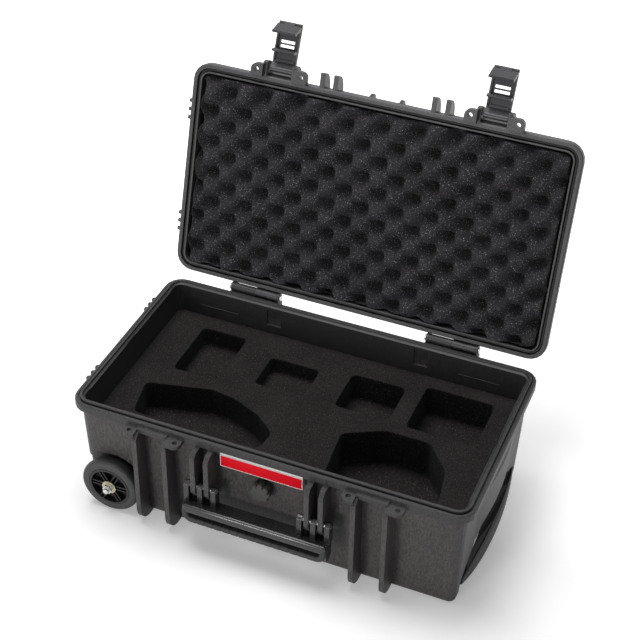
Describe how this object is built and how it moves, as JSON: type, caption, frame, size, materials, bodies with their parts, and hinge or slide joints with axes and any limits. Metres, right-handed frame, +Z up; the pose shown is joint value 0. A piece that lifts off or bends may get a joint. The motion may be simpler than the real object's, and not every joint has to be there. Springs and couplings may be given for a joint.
{
  "type": "wheeled hard camera case",
  "caption": "Open wheeled hard-shell camera case with latched lid, carry handle, pull-out handle, corner wheels and cut foam lining.",
  "frame": {"origin": "middle of the flat underside, on the floor the case lies on", "axes": "+X along the case to the end with the pull-out handle, +Y to the lid's hinges, +Z up out of the open base"},
  "size_m": [0.5537, 0.4721, 0.5336],
  "materials": {
    "black_moulded": "black structural-foam plastic with a fine grain",
    "smooth_black": "smooth black plastic, half gloss",
    "charcoal_foam": "charcoal open-cell foam",
    "wheel_tyre": "hard black tread",
    "wheel_hub": "black plastic",
    "grip_rubber": "black soft overmould with ribs",
    "seal_rubber": "black rubber",
    "bright_steel": "bright steel",
    "plated_brass": "pale plated brass",
    "anodised_alloy": "anodised tube",
    "bush_nylon": "natural nylon",
    "white_plastic": "white plastic",
    "red_card": "plain red card"
  },
  "bodies": {
    "base": {"base_shell": "black_moulded", "base_foam": "charcoal_foam", "base_foam_sheet": "charcoal_foam", "hinge_pin_left": "bright_steel", "hinge_pin_right": "bright_steel", "name_plate_tray": "white_plastic", "name_card": "red_card", "valve_body": "black_moulded", "valve_nut": "black_moulded", "handle_pin_left": "bright_steel", "handle_pin_right": "bright_steel", "axle_bolt_front": "bright_steel", "axle_bolt_rear": "bright_steel", "axle_spacer_front": "bush_nylon", "axle_spacer_rear": "bush_nylon", "axle_washer_front": "plated_brass", "axle_washer_rear": "plated_brass", "axle_nut_front": "plated_brass", "axle_nut_rear": "plated_brass", "trolley_outer_tube_front": "anodised_alloy", "trolley_outer_tube_rear": "anodised_alloy", "trolley_front_clamp": "black_moulded", "trolley_tail_clamp": "black_moulded", "bottom_cover": "black_moulded", "cover_screw_1": "bright_steel", "cover_screw_2": "bright_steel", "cover_screw_3": "bright_steel", "cover_screw_4": "bright_steel"},
    "wheel_front": {"wheel_tyre_front": "wheel_tyre", "wheel_hub_front": "wheel_hub", "axle_bush_front": "bush_nylon"},
    "wheel_rear": {"wheel_tyre_rear": "wheel_tyre", "wheel_hub_rear": "wheel_hub", "axle_bush_rear": "bush_nylon"},
    "front_handle": {"handle_frame": "smooth_black", "handle_grip": "grip_rubber"},
    "valve_knob": {"valve_knob": "smooth_black"},
    "trolley_middle": {"trolley_middle_tube_front": "anodised_alloy", "trolley_middle_tube_rear": "anodised_alloy", "trolley_stage_bridge": "smooth_black"},
    "trolley_pull": {"trolley_inner_tube_front": "anodised_alloy", "trolley_inner_tube_rear": "anodised_alloy", "trolley_grip": "smooth_black", "trigger_spring": "bright_steel"},
    "trolley_trigger": {"trolley_trigger": "smooth_black"},
    "lid": {"lid_shell": "black_moulded", "lid_foam": "charcoal_foam", "lid_seal": "seal_rubber", "latch_left_link_pin": "bright_steel", "latch_right_link_pin": "bright_steel"},
    "latch_left_link": {"latch_left_link": "black_moulded"},
    "latch_left_lever": {"latch_left_lever": "black_moulded", "latch_left_lever_pin": "bright_steel"},
    "latch_right_link": {"latch_right_link": "black_moulded"},
    "latch_right_lever": {"latch_right_lever": "black_moulded", "latch_right_lever_pin": "bright_steel"}
  },
  "joints": [
    {"name": "lid_hinge", "type": "hinge", "parent": "base", "child": "lid", "pos_m": [0, 0.1588, 0.173], "axis": [1, 0, 0], "range_deg": [0, 106.6]},
    {"name": "handle_swing", "type": "hinge", "parent": "base", "child": "front_handle", "pos_m": [0, -0.1642, 0.102], "axis": [-1, 0, 0], "range_deg": [0, 95]},
    {"name": "wheel_front_spin", "type": "hinge", "parent": "base", "child": "wheel_front", "pos_m": [-0.2207, -0.1447, 0.0415], "axis": [0, 1, 0], "continuous": true},
    {"name": "wheel_rear_spin", "type": "hinge", "parent": "base", "child": "wheel_rear", "pos_m": [-0.2207, 0.1447, 0.0415], "axis": [0, 1, 0], "continuous": true},
    {"name": "valve_turn", "type": "hinge", "parent": "base", "child": "valve_knob", "pos_m": [0, -0.151, 0.114], "axis": [0, -1, 0], "range_deg": [0, 180]},
    {"name": "trolley_lower_slide", "type": "slide", "parent": "base", "child": "trolley_middle", "axis": [1, 0, 0], "range_m": [0, 0.23]},
    {"name": "trolley_upper_slide", "type": "slide", "parent": "trolley_middle", "child": "trolley_pull", "axis": [1, 0, 0], "range_m": [0, 0.23]},
    {"name": "trigger_squeeze", "type": "slide", "parent": "trolley_pull", "child": "trolley_trigger", "axis": [1, 0, 0], "range_m": [0, 0.003], "stiffness_N_per_m": 400, "springref_m": -0.002, "deforming": ["trigger_spring"]},
    {"name": "latch_left_swing", "type": "hinge", "parent": "lid", "child": "latch_left_link", "pos_m": [-0.1505, 0.25693, 0.47766], "axis": [1, 0, 0], "range_deg": [0, 98]},
    {"name": "latch_left_lever_swing", "type": "hinge", "parent": "latch_left_link", "child": "latch_left_lever", "pos_m": [-0.1505, 0.28865, 0.53133], "axis": [-1, 0, 0], "range_deg": [0, 120]},
    {"name": "latch_right_swing", "type": "hinge", "parent": "lid", "child": "latch_right_link", "pos_m": [0.1505, 0.25693, 0.47766], "axis": [1, 0, 0], "range_deg": [0, 98]},
    {"name": "latch_right_lever_swing", "type": "hinge", "parent": "latch_right_link", "child": "latch_right_lever", "pos_m": [0.1505, 0.28865, 0.53133], "axis": [-1, 0, 0], "range_deg": [0, 120]}
  ]
}
